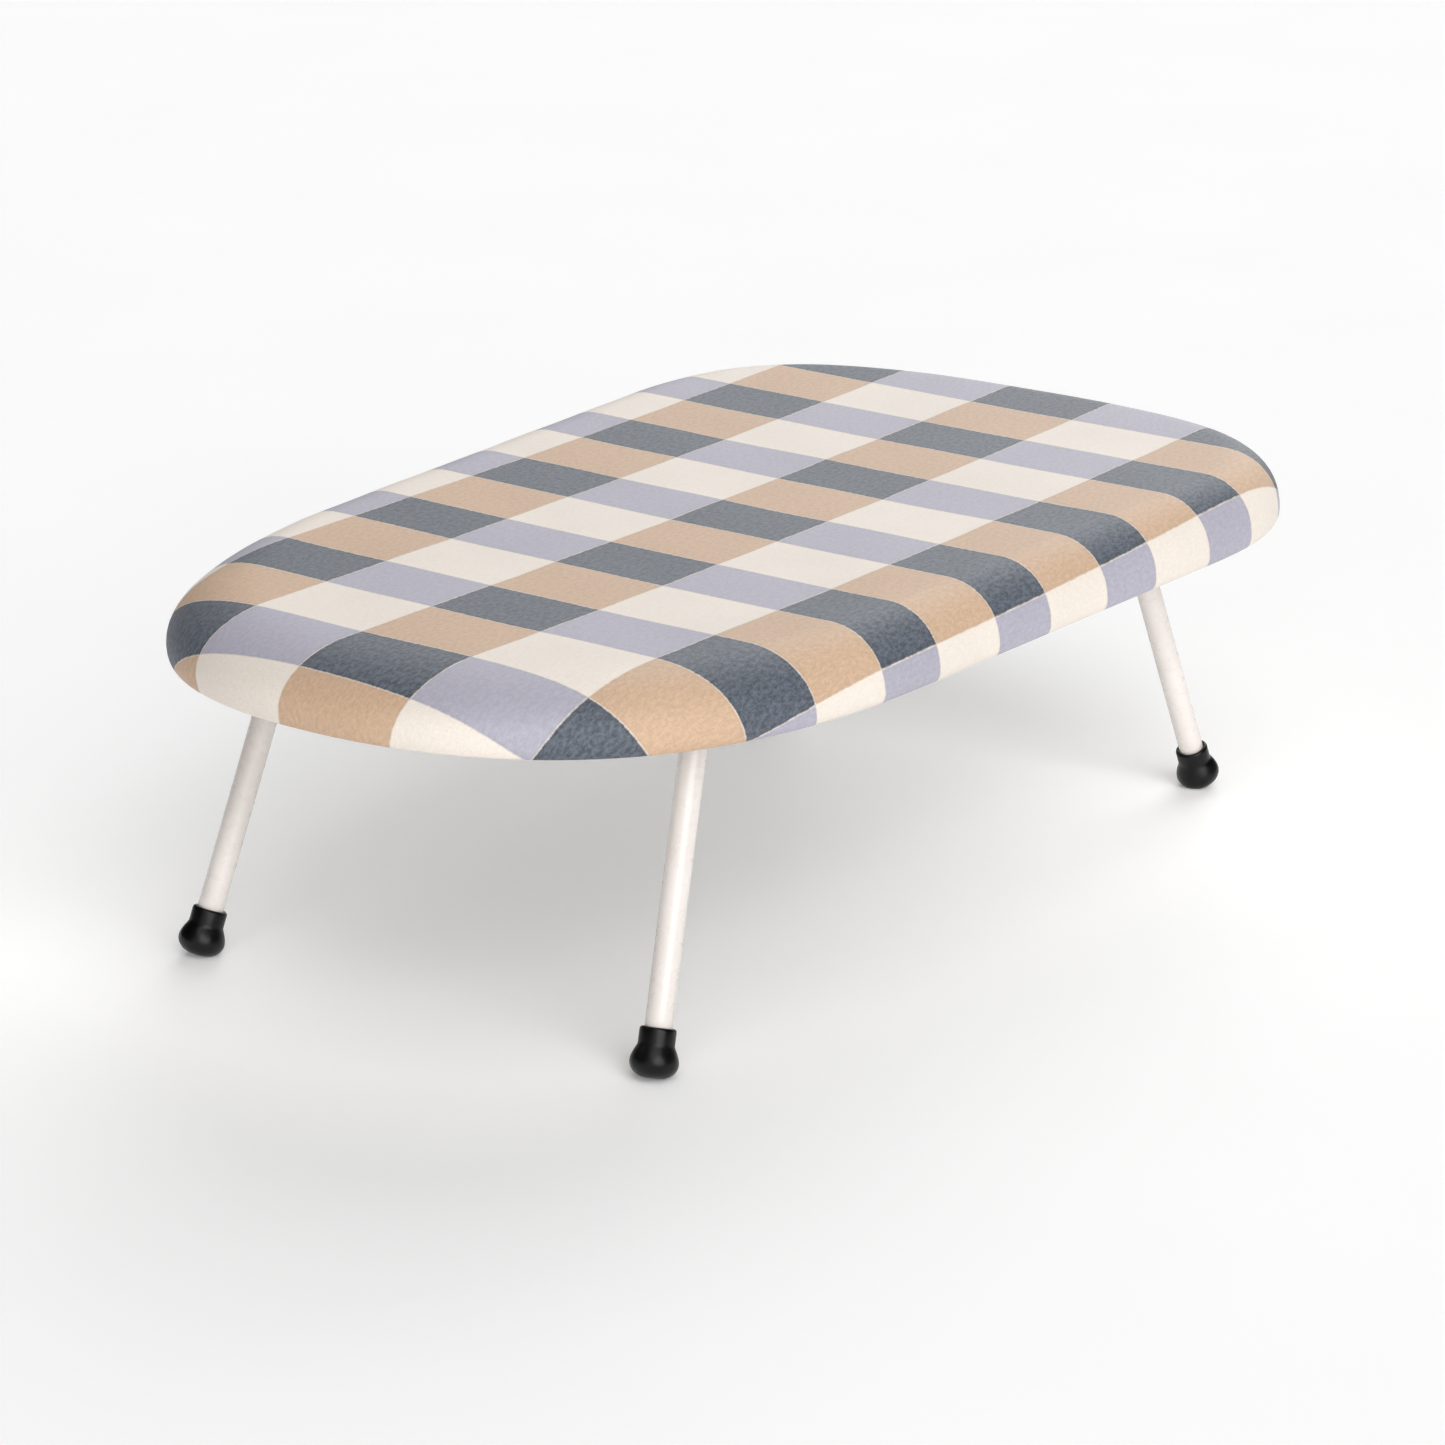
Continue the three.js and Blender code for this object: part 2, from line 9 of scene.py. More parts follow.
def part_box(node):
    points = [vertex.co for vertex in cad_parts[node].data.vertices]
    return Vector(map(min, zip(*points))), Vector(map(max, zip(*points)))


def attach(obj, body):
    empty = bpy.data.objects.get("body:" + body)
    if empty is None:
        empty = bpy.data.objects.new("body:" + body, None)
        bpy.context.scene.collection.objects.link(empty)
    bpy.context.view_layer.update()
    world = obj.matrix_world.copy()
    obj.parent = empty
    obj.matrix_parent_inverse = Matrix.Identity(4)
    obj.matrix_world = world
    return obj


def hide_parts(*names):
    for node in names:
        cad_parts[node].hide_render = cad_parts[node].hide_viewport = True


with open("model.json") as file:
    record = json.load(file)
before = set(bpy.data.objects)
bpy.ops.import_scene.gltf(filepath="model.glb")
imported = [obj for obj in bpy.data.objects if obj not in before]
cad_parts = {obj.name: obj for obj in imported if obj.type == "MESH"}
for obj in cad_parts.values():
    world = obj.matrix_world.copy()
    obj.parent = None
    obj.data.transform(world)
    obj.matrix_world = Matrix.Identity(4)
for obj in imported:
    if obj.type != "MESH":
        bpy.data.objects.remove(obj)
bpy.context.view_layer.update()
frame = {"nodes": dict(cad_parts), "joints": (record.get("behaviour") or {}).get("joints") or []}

MM = 0.001


# ---- sizes, from the frame ----
LOW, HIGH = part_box("fabric_cover")
RIM_LOW, RIM_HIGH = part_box("rim_tube")
PANEL_LOW, PANEL_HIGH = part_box("mesh_panel")
JOINTS = {joint["name"]: joint for joint in frame["joints"]}

TOP = HIGH[2]
HEM_BOTTOM = LOW[2]
NOSE_X, TAIL_X = LOW[0], HIGH[0]
RIM_RADIUS = (RIM_HIGH[2] - RIM_LOW[2]) / 2
RIM_Z = (RIM_HIGH[2] + RIM_LOW[2]) / 2
RIM_OFFSET = 18.5 * MM  # rim centreline, in from the outside of the cover

# Plan outline: straight tapering sides, a rounded nose and a squarish tail.
HALF_WIDTH = 173.5 * MM
TAPER = 0.041
NOSE_START = -53 * MM
NOSE_POWER_X = 3.39
NOSE_POWER_Y = 2.2
TAIL_START = 144 * MM
TAIL_POWER = 2.82

# Soft edge: a rounded fall from the flat top to the widest line, then a tuck in to the hem.
EDGE_RUN = 27.8 * MM
EDGE_POWER = 2.12
TUCK_HEIGHT = 6 * MM
TUCK_DEPTH = 2.5 * MM
CORNER_RUN = 1.4 * MM
# Towards the tip of the nose the roll is broader, the hem rises and the tuck fades out.
NOSE_SHAPE_START = -120 * MM
NOSE_EXTRA_RUN = 19.1 * MM
NOSE_LIFT = 4.5 * MM

# Cover cloth.
CLOTH = 0.7 * MM
SEAM_OFFSET = 24 * MM  # where the casing of the elastic is stitched down
ELASTIC_OFFSET = 29.5 * MM
ELASTIC_RISE = 2.7 * MM  # middle of the elastic, above the hem
ELASTIC_RADIUS = 1.2 * MM
CASING_RADIUS = 2.4 * MM
PLEAT = 3.2 * MM  # deepest gather
HEM_FROM = 6 * MM  # the flat of the hem: first and last ring, measured in from the outside
HEM_TO = 28.5 * MM
HEM_STEP = 1.8 * MM
CELL_X = 43.78 * MM  # the checks: mean width along the board
CELL_Y = 60.84 * MM  # and across it
WIDE_X = 1.051  # every other check is a little longer
WIDE_Y = 1.003

# Mesh grid of the cover: stations round the edge, a quarter grid across the flat top.
ACROSS = 92
ALONG = 148
STATIONS = 2 * (ACROSS + ALONG)


# ---- plan outline ----
def half_width(x):
    return HALF_WIDTH + TAPER * x


def outline_curve(steps=400):
    a = np.linspace(0, math.pi / 2, steps + 1)
    sin, cos = np.sin(a), np.clip(np.cos(a), 0, None)
    x_nose = NOSE_START - (NOSE_START - NOSE_X) * cos ** (2 / NOSE_POWER_X)
    y_nose = half_width(x_nose) * sin ** (2 / NOSE_POWER_Y)
    x_tail = TAIL_START + (TAIL_X - TAIL_START) * sin ** (2 / TAIL_POWER)
    y_tail = half_width(x_tail) * cos ** (2 / TAIL_POWER)
    side = np.column_stack([np.r_[x_nose, x_tail], np.r_[y_nose, y_tail]])
    mirrored = side[1:-1][::-1] * [1, -1]
    return np.vstack([side, mirrored, side[:1]])


class Outline:
    """Evenly spaced stations round the board, from the tip of the nose by way of +Y."""

    def __init__(self, count):
        self.curve = outline_curve()
        steps = np.hypot(*np.diff(self.curve, axis=0).T)
        self.length = np.r_[0, np.cumsum(steps)]
        self.total = self.length[-1]
        self.s = np.arange(count) / count * self.total
        self.points = self.at(self.s)
        reach = 2 * MM
        along = self.at(self.s + reach) - self.at(self.s - reach)
        along /= np.linalg.norm(along, axis=1)[:, None]
        self.normals = np.column_stack([-along[:, 1], along[:, 0]])
        to_nose = (NOSE_SHAPE_START - self.points[:, 0]) / (NOSE_SHAPE_START - NOSE_X)
        to_nose = np.clip(to_nose, 0, None)
        self.run = EDGE_RUN + NOSE_EXTRA_RUN * to_nose
        self.bottom = HEM_BOTTOM + NOSE_LIFT * to_nose
        self.tuck = TUCK_DEPTH * (1 - to_nose)
        bend = np.gradient(np.unwrap(np.arctan2(along[:, 1], along[:, 0])), self.s)
        self.bend = np.convolve(np.r_[bend[-6:], np.abs(bend), bend[:6]], np.ones(13) / 13, "valid")

    def at(self, s):
        """Points on the outline at the given distances along it."""
        s = s % self.total
        return np.column_stack([np.interp(s, self.length, self.curve[:, k]) for k in (0, 1)])

    def inset(self, depth):
        """The stations, moved in from the outline."""
        return self.points - self.normals * np.reshape(depth, (-1, 1))


# ---- mesh helpers ----
def new_object(name, vertices, faces, smooth=True):
    mesh = bpy.data.meshes.new(name)
    mesh.from_pydata([tuple(v) for v in vertices], [], [tuple(f) for f in faces])
    mesh.validate()
    mesh.update()
    for polygon in mesh.polygons:
        polygon.use_smooth = smooth
    obj = bpy.data.objects.new(name, mesh)
    bpy.context.scene.collection.objects.link(obj)
    return obj


def ring_faces(rows, columns, closed_rows=False, closed_columns=True, flip=False):
    """Quads over a grid of points numbered row by row."""
    faces = []
    for r in range(rows if closed_rows else rows - 1):
        for c in range(columns if closed_columns else columns - 1):
            r2, c2 = (r + 1) % rows, (c + 1) % columns
            quad = (r * columns + c, r * columns + c2, r2 * columns + c2, r2 * columns + c)
            faces.append(quad[::-1] if flip else quad)
    return faces


def sweep_ring(name, outline, section):
    """Sweeps a closed section, a list of (inset, z), round the outline."""
    rows = []
    for inset, z in section:
        plan = outline.inset(inset)
        rows.append(np.column_stack([plan, z + np.zeros(len(plan))]))
    faces = ring_faces(len(section), len(outline.s), closed_rows=True)
    return new_object(name, np.vstack(rows), faces)


def lathe(name, profile, segments=48):
    """Turns a profile of (radius, height) about +Z. Points on the axis close it."""
    vertices, faces, rings = [], [], []
    for radius, z in profile:
        if radius < 1e-7:
            rings.append([len(vertices)])
            vertices.append((0, 0, z))
        else:
            rings.append(list(range(len(vertices), len(vertices) + segments)))
            for k in range(segments):
                a = 2 * math.pi * k / segments
                vertices.append((radius * math.cos(a), radius * math.sin(a), z))
    for lower, upper in zip(rings, rings[1:]):
        for k in range(segments):
            j = (k + 1) % segments
            if len(lower) == 1:
                faces.append((lower[0], upper[j], upper[k]))
            elif len(upper) == 1:
                faces.append((lower[k], lower[j], upper[0]))
            else:
                faces.append((lower[k], lower[j], upper[j], upper[k]))
    return new_object(name, vertices, faces)


def place(obj, matrix):
    obj.data.transform(matrix)
    obj.data.update()


def smoothstep(x, low, high):
    t = np.clip((x - low) / (high - low), 0, 1)
    return t * t * (3 - 2 * t)


# ---- node helpers ----
class Nodes:
    """A small builder for a material's node tree."""

    def __init__(self, name):
        self.material = bpy.data.materials.new(name)
        self.material.use_nodes = True
        self.tree = self.material.node_tree
        self.tree.nodes.clear()
        self.output = self.tree.nodes.new("ShaderNodeOutputMaterial")
        self.shader = self.tree.nodes.new("ShaderNodeBsdfPrincipled")
        self.link(self.shader.outputs[0], self.output.inputs["Surface"])

    def link(self, source, target):
        self.tree.links.new(source, target)

    def put(self, socket, value):
        if hasattr(value, "is_output"):
            self.link(value, socket)
        else:
            socket.default_value = value

    def finish(self, **values):
        names = {
            "color": "Base Color", "roughness": "Roughness", "metallic": "Metallic",
            "sheen": "Sheen Weight", "sheen_roughness": "Sheen Roughness",
            "sheen_tint": "Sheen Tint", "coat": "Coat Weight", "coat_roughness": "Coat Roughness",
            "specular": "Specular IOR Level", "normal": "Normal",
        }
        for key, value in values.items():
            self.put(self.shader.inputs[names[key]], value)
        return self.material

    def math(self, operation, a, b=0.0):
        node = self.tree.nodes.new("ShaderNodeMath")
        node.operation = operation
        self.put(node.inputs[0], a)
        self.put(node.inputs[1], b)
        return node.outputs[0]

    def smooth(self, value, low, high, to_low=0.0, to_high=1.0):
        node = self.tree.nodes.new("ShaderNodeMapRange")
        node.interpolation_type = "SMOOTHSTEP"
        for name, v in (("Value", value), ("From Min", low), ("From Max", high),
                        ("To Min", to_low), ("To Max", to_high)):
            self.put(node.inputs[name], v)
        return node.outputs[0]

    def mix(self, factor, a, b, blend="MIX"):
        node = self.tree.nodes.new("ShaderNodeMix")
        node.data_type = "RGBA"
        node.blend_type = blend
        self.put(node.inputs[0], factor)
        self.put(node.inputs[6], a)
        self.put(node.inputs[7], b)
        return node.outputs[2]

    def noise(self, vector, scale, detail=3.0, roughness=0.5):
        node = self.tree.nodes.new("ShaderNodeTexNoise")
        self.put(node.inputs["Vector"], vector)
        node.inputs["Scale"].default_value = scale
        node.inputs["Detail"].default_value = detail
        node.inputs["Roughness"].default_value = roughness
        return node.outputs["Fac"]

    def voronoi(self, vector, scale):
        node = self.tree.nodes.new("ShaderNodeTexVoronoi")
        self.put(node.inputs["Vector"], vector)
        node.inputs["Scale"].default_value = scale
        return node.outputs["Distance"]

    def object_place(self):
        return self.tree.nodes.new("ShaderNodeTexCoord").outputs["Object"]

    def scaled(self, vector, factors):
        node = self.tree.nodes.new("ShaderNodeVectorMath")
        node.operation = "MULTIPLY"
        self.put(node.inputs[0], vector)
        node.inputs[1].default_value = factors
        return node.outputs[0]

    def bump(self, height, strength, distance):
        node = self.tree.nodes.new("ShaderNodeBump")
        node.inputs["Strength"].default_value = strength
        node.inputs["Distance"].default_value = distance
        self.put(node.inputs["Height"], height)
        return node.outputs[0]

    def split(self, vector):
        node = self.tree.nodes.new("ShaderNodeSeparateXYZ")
        self.put(node.inputs[0], vector)
        return node.outputs

    def attribute(self, name):
        node = self.tree.nodes.new("ShaderNodeAttribute")
        node.attribute_name = name
        return node.outputs["Vector"]


def srgb(r, g, b):
    """A colour given in screen values from 0 to 255, as the shader's linear numbers."""
    linear = []
    for v in (r, g, b):
        v /= 255
        linear.append(v / 12.92 if v <= 0.04045 else ((v + 0.055) / 1.055) ** 2.4)
    return (*linear, 1.0)


# ---- materials ----
SLATE = srgb(88, 95, 106)
BEIGE = srgb(208, 176, 147)
LAVENDER = srgb(179, 176, 190)
CREAM = srgb(241, 231, 220)
BORDER_SOFTNESS = 0.25 * MM
THREAD_PITCH = 0.55 * MM


def checked_cotton():
    """Printed plain-weave cotton: slate, beige, lavender and cream checks."""
    n = Nodes("checked_cotton")
    thread = n.attribute("thread")
    u, v, _ = n.split(thread)

    def band(value, cell, wide):
        """Distance, in metres, inside the wide band; negative in the narrow one."""
        position = n.math("DIVIDE", value, cell)
        centred = n.math("SUBTRACT", position, wide / 2)
        away = n.math("PINGPONG", centred, 1.0)
        return n.math("MULTIPLY", n.math("SUBTRACT", wide / 2, away), cell)

    wobble = n.math("MULTIPLY", n.math("SUBTRACT", n.noise(thread, 500, 2), 0.5), 0.5 * MM)
    along = n.math("ADD", band(u, CELL_X, WIDE_X), wobble)
    across = n.math("ADD", band(v, CELL_Y, WIDE_Y), wobble)
    even_u = n.smooth(along, -BORDER_SOFTNESS, BORDER_SOFTNESS)
    even_v = n.smooth(across, -BORDER_SOFTNESS, BORDER_SOFTNESS)
    dark_row = n.mix(even_u, SLATE, BEIGE)
    pale_row = n.mix(even_u, LAVENDER, CREAM)
    color = n.mix(even_v, dark_row, pale_row)

    # a thin pale line runs along each border where two printed colours meet
    nearest = n.math("MINIMUM", n.math("ABSOLUTE", along), n.math("ABSOLUTE", across))
    seam_line = n.smooth(nearest, 0.2 * MM, 0.65 * MM, 0.6, 0.0)
    color = n.mix(seam_line, color, srgb(238, 228, 216))

    # heathered yarn: dark and pale flecks, strong in the slate, faint in the cream; the print
    # is a little heavier along the edges of a dark check
    dark_amount = n.smooth(even_u, 0.0, 1.0, 0.42, 0.09)
    pale_amount = n.smooth(even_u, 0.0, 1.0, 0.08, 0.02)
    amount = n.math("ADD", n.math("MULTIPLY", even_v, n.math("SUBTRACT", pale_amount, dark_amount)),
                    dark_amount)
    flecks = n.smooth(n.noise(n.scaled(thread, (300, 500, 1)), 1.0, 4, 0.8), 0.36, 0.64, -1.0, 1.0)
    heavy = n.smooth(nearest, 0.6 * MM, 2.4 * MM, -0.42, 0.0)
    heather = n.math("ADD", 1.0, n.math("MULTIPLY", amount, n.math("ADD", flecks, heavy)))

    # yarns: slubs along each thread direction, and a fine mottle from the weave
    warp = n.noise(n.scaled(thread, (250, 1900, 1)), 1.0, 3, 0.6)
    weft = n.noise(n.scaled(thread, (1900, 250, 1)), 1.0, 3, 0.6)
    mottle = n.noise(thread, 900, 4, 0.65)
    grain = n.math("ADD", n.math("ADD", warp, weft), mottle)
    shade = n.smooth(grain, 1.0, 2.0, 0.94, 1.06)
    cloudy = n.smooth(n.noise(thread, 14, 2), 0.3, 0.7, 0.975, 1.02)
    tone = n.math("MULTIPLY", n.math("MULTIPLY", shade, cloudy), heather)
    gray = n.tree.nodes.new("ShaderNodeCombineColor")
    for socket in gray.inputs:
        n.put(socket, tone)
    color = n.mix(1.0, color, gray.outputs[0], "MULTIPLY")

    # plain weave: rows of over-and-under crowns
    waves = []
    for value in (u, v):
        waves.append(n.math("SINE", n.math("MULTIPLY", value, 2 * math.pi / THREAD_PITCH)))
    weave = n.math("MULTIPLY", waves[0], waves[1])
    height = n.math("ADD", n.math("MULTIPLY", weave, 0.5), n.math("MULTIPLY", grain, 0.5))
    normal = n.bump(height, 0.35, 0.15 * MM)
    return n.finish(color=color, roughness=0.58, specular=0.5, sheen=0.08,
                    sheen_roughness=0.5, sheen_tint=(1, 0.98, 0.96, 1), normal=normal)


def felt_pad():
    """Needled felt over foam, off-white with short tangled fibres."""
    n = Nodes("pad_felt")
    spot = n.object_place()
    fibres = n.noise(n.scaled(spot, (900, 300, 900)), 1.0, 5, 0.7)
    lumps = n.noise(spot, 160, 3)
    color = n.mix(n.smooth(fibres, 0.3, 0.7), srgb(196, 190, 176), srgb(236, 232, 220))
    normal = n.bump(n.math("ADD", fibres, lumps), 0.5, 0.6 * MM)
    return n.finish(color=color, roughness=0.95, specular=0.15, sheen=0.3, sheen_roughness=0.6,
                    normal=normal)


def braided_elastic():
    n = Nodes("braided_elastic")
    spot = n.object_place()
    braid = n.noise(n.scaled(spot, (1400, 1400, 500)), 1.0, 2)
    color = n.mix(n.smooth(braid, 0.35, 0.65), srgb(198, 194, 188), srgb(240, 238, 234))
    return n.finish(color=color, roughness=0.8, normal=n.bump(braid, 0.5, 0.3 * MM))


def powder_coat():
    """White powder coat on the leg tubes: gloss with a fine orange peel and faint scuffs."""
    n = Nodes("white_powder_coat")
    spot = n.object_place()
    peel = n.noise(spot, 700, 2)
    scuffs = n.noise(spot, 190, 4, 0.7)
    dust = n.noise(spot, 35, 3)
    color = n.mix(n.smooth(dust, 0.35, 0.7), srgb(232, 224, 218), srgb(238, 231, 226))
    color = n.mix(n.smooth(scuffs, 0.74, 0.86, 0.0, 0.08), color, srgb(196, 188, 180))
    roughness = n.smooth(scuffs, 0.3, 0.8, 0.24, 0.42)
    return n.finish(color=color, roughness=roughness, coat=0.35, coat_roughness=0.12,
                    normal=n.bump(peel, 0.06, 0.2 * MM))


def zinc_steel(name, light, dark, roughness):
    """Zinc-plated steel: mottled spangle, fine rolling marks, duller where it is handled."""
    n = Nodes(name)
    spot = n.object_place()
    spangle = n.voronoi(spot, 190)
    rolling = n.noise(n.scaled(spot, (40, 900, 900)), 1.0, 3)
    stain = n.noise(spot, 25, 4)
    color = n.mix(n.smooth(spangle, 0.1, 0.8), light, dark)
    color = n.mix(n.smooth(stain, 0.5, 0.8, 0.0, 0.35), color, dark)
    rough = n.smooth(n.math("ADD", rolling, stain), 0.7, 1.3, roughness - 0.08, roughness + 0.14)
    return n.finish(color=color, metallic=0.85, roughness=rough,
                    normal=n.bump(rolling, 0.08, 0.2 * MM))


def moulded(name, dark, light, roughness, grain, bump):
    """A moulded plastic or rubber with a fine eroded texture and worn, paler patches."""
    n = Nodes(name)
    spot = n.object_place()
    fine = n.noise(spot, grain, 3, 0.6)
    wear = n.noise(spot, 110, 4, 0.6)
    color = n.mix(n.smooth(wear, 0.45, 0.8), dark, light)
    rough = n.smooth(wear, 0.3, 0.8, roughness - 0.06, roughness + 0.12)
    return n.finish(color=color, roughness=rough, specular=0.28,
                    normal=n.bump(fine, bump, 0.2 * MM))


def cotton_thread():
    n = Nodes("cotton_thread")
    spot = n.object_place()
    twist = n.noise(n.scaled(spot, (2500, 2500, 900)), 1.0, 2)
    color = n.mix(n.smooth(twist, 0.3, 0.7), srgb(206, 198, 188), srgb(244, 238, 230))
    return n.finish(color=color, roughness=0.75, normal=n.bump(twist, 0.6, 0.1 * MM))


# ---- fabric cover ----
def thread_place(plan):
    """Where a point of the cloth lies along its threads, given its place on the flat pattern.
    The cloth is laid a little askew, and its threads bow slightly."""
    origin = np.array([-8.66, -3.4])  # in millimetres, as the two skews and the bows are
    skew_x, skew_y = 0.039, -0.008
    bow_x, stretch_x, bow_y, stretch_y = 1.014, 0.504, 0.84, -0.566  # per (100 mm) squared
    first_line_x, first_line_y = 1.5, 3.2
    goal = plan / MM - origin
    u, v = goal[:, 0].copy(), goal[:, 1].copy()
    for _ in range(4):
        uu, vv = (u / 100) ** 2, (v / 100) ** 2
        u = goal[:, 0] - skew_x * v - bow_x * vv - stretch_x * uu
        v = goal[:, 1] - skew_y * u - bow_y * uu - stretch_y * vv
    return np.column_stack([
        u * MM + first_line_x * CELL_X,
        first_line_y * CELL_Y - v * MM,
        np.zeros(len(u)),
    ])


def edge_profile(outline, skin=0.0, down_steps=14, tuck_steps=6):
    """Rings of (inset, z) for every station, from the flat top round to the hem. A skin sets
    them inside the outer surface."""
    widest = outline.bottom + TUCK_HEIGHT
    rings = []
    for a in np.linspace(0, math.pi / 2, down_steps + 1):
        out, down = math.sin(a) ** (2 / EDGE_POWER), max(math.cos(a), 0) ** (2 / EDGE_POWER)
        rings.append((outline.run - (outline.run - skin) * out,
                      widest + (TOP - skin - widest) * down))
    for b in np.linspace(0, math.pi / 2, tuck_steps + 1)[1:]:
        rings.append((skin + (outline.tuck + CORNER_RUN) * (1 - math.cos(b)),
                      widest - (TUCK_HEIGHT - skin) * math.sin(b)))
    return rings


def gathers(outline):
    """Depth of the gathers round the hem: uneven pleats, fuller where the outline turns."""
    turn = 2 * math.pi * outline.s / outline.total
    drift = 2.1 * np.sin(3 * turn + 0.7) + 1.3 * np.sin(7 * turn + 2.0)
    waves = np.sin(97 * turn + drift) + 0.6 * np.sin(61 * turn - 1.7 * drift + 1.0)
    waves += 0.35 * np.sin(143 * turn + 2.3 * drift)
    fullness = 0.35 + 0.65 * smoothstep(np.abs(outline.bend), 0.8, 5.0)
    return PLEAT * fullness * (0.5 + 0.5 * waves / 1.95)


def hem_height(outline, inset):
    """Height of the hem's underside at some inset: the gathers flatten along the seam."""
    grown = smoothstep(inset, 3 * MM, 20 * MM)
    held = 1 - 0.6 * math.exp(-(((inset - SEAM_OFFSET) / (2.2 * MM)) ** 2))
    return outline.bottom + 0.5 * MM * grown - gathers(outline) * grown * held


def casing_middle(outline):
    return outline.bottom + ELASTIC_RISE - 0.45 * gathers(outline)


def flat_top_grid(ring):
    """Fills the inner ring with a grid of quads: a Coons patch of its four sides."""
    half = ACROSS // 2
    nose = np.roll(ring, half, axis=0)[: ACROSS + 1]
    right = ring[half: half + ALONG + 1]
    tail = ring[half + ALONG: half + ALONG + ACROSS + 1][::-1]
    left = np.roll(ring, half, axis=0)[::-1][: ALONG + 1]
    left = np.vstack([nose[:1], left[:ALONG]])
    s = np.linspace(0, 1, ALONG + 1)[:, None, None]
    t = np.linspace(0, 1, ACROSS + 1)[None, :, None]
    patch = (1 - s) * nose[None] + s * tail[None] + (1 - t) * left[:, None] + t * right[:, None]
    patch -= (1 - s) * (1 - t) * nose[0] + (1 - s) * t * nose[-1]
    patch -= s * (1 - t) * tail[0] + s * t * tail[-1]
    return patch


def soft_relief(x, y):
    """The pad's slow rise and fall under the cloth, in metres."""
    waves = np.sin(61 * x + 1.1) * np.sin(73 * y + 0.4) + 0.6 * np.sin(113 * x - 47 * y + 2.2)
    return 0.12 * MM * waves


def build_cover():
    outline = Outline(STATIONS)
    plan_rows, z_rows, cloth_rows = [], [], []
    arc = np.zeros(STATIONS)
    start = outline.inset(outline.run)
    before = None

    def add_ring(inset, z):
        nonlocal arc, before
        if before is not None:
            arc = arc + np.hypot(inset - before[0], z - before[1])
        before = (np.array(inset, float) + 0 * arc, np.array(z, float) + 0 * arc)
        plan_rows.append(outline.inset(before[0]))
        z_rows.append(before[1])
        cloth_rows.append(start + outline.normals * arc[:, None])

    for inset, z in edge_profile(outline):
        add_ring(inset, z)

    # hem: turned in under the board, gathered by the elastic in its casing, and stitched down
    for inset in np.arange(HEM_FROM, HEM_TO, HEM_STEP):
        add_ring(inset, hem_height(outline, inset))
    for a in np.linspace(-0.40 * math.pi, 1.15 * math.pi, 13):
        add_ring(ELASTIC_OFFSET + CASING_RADIUS * math.cos(a),
                 casing_middle(outline) + CASING_RADIUS * math.sin(a))
    for inset in (SEAM_OFFSET + 1 * MM, SEAM_OFFSET, SEAM_OFFSET - 2 * MM):
        add_ring(inset, hem_height(outline, inset) + 2.1 * CLOTH)

    rings = len(plan_rows)
    patch = flat_top_grid(plan_rows[0])
    inner = patch[1:-1, 1:-1]
    vertices = [np.column_stack([p, z]) for p, z in zip(plan_rows, z_rows)]
    flat = inner.reshape(-1, 2)
    vertices.append(np.column_stack([flat, np.full(len(flat), TOP)]))
    vertices = np.vstack(vertices)
    cloth = np.vstack(cloth_rows + [flat])
    # the top lies on the pad's slow relief, which fades out down the roll
    top_weight = smoothstep(vertices[:, 2], TOP - 22 * MM, TOP - 2 * MM)
    vertices[:, 2] -= top_weight * (0.2 * MM - soft_relief(vertices[:, 0], vertices[:, 1]))

    faces = ring_faces(rings, STATIONS)
    ids = np.full((ALONG + 1, ACROSS + 1), -1)
    half = ACROSS // 2
    ids[0, :] = (np.arange(ACROSS + 1) - half) % STATIONS
    ids[:, -1] = half + np.arange(ALONG + 1)
    ids[-1, :] = (half + ALONG + ACROSS - np.arange(ACROSS + 1)) % STATIONS
    ids[:, 0] = (-half - np.arange(ALONG + 1)) % STATIONS
    ids[1:-1, 1:-1] = rings * STATIONS + np.arange(len(flat)).reshape(ALONG - 1, ACROSS - 1)
    for i in range(ALONG):
        for j in range(ACROSS):
            faces.append((ids[i, j], ids[i + 1, j], ids[i + 1, j + 1], ids[i, j + 1]))
    cover = new_object("cover_cloth", vertices, faces)
    attribute = cover.data.attributes.new("thread", "FLOAT_VECTOR", "POINT")
    attribute.data.foreach_set("vector", thread_place(cloth).astype(np.float32).ravel())
    shell = cover.modifiers.new("thickness", "SOLIDIFY")
    shell.thickness = CLOTH
    shell.offset = -1
    return cover


# ---- pad, elastic and deck ----
PAD_SKIN = 1.3 * MM
PANEL_STRAND = 1.7 * MM
DIAMOND_X = 22 * MM
DIAMOND_Y = 11 * MM


def build_pad():
    count = 240
    outline = Outline(count)
    bottom = outline.bottom + PAD_SKIN + 0.3 * MM
    underside = PANEL_HIGH[2] + 0.3 * MM
    wall = RIM_OFFSET - RIM_RADIUS - 0.4 * MM
    # the top, the roll, then up the inside of the rim and under the panel
    rows = []
    for depth in np.linspace(60, 0, 3, endpoint=False) * MM:
        rows.append((outline.run + depth, TOP - PAD_SKIN))
    rows += edge_profile(outline, PAD_SKIN, 12, 4)
    rows += [(wall - 1 * MM, bottom), (wall, bottom + 1 * MM), (wall, RIM_Z + 2.2 * MM),
             (wall + 1.1 * MM, RIM_Z + 4.6 * MM), (wall + 3.7 * MM, RIM_Z + 7 * MM),
             (RIM_OFFSET, underside), (RIM_OFFSET + 60 * MM, underside)]
    rings = [np.column_stack([outline.inset(inset), z + np.zeros(count)]) for inset, z in rows]
    vertices = np.vstack(rings)
    faces = ring_faces(len(rows), count)
    faces.append(tuple(range(count - 1, -1, -1)))
    last = (len(rows) - 1) * count
    faces.append(tuple(range(last, last + count)))
    return new_object("pad_cushion", vertices, faces)


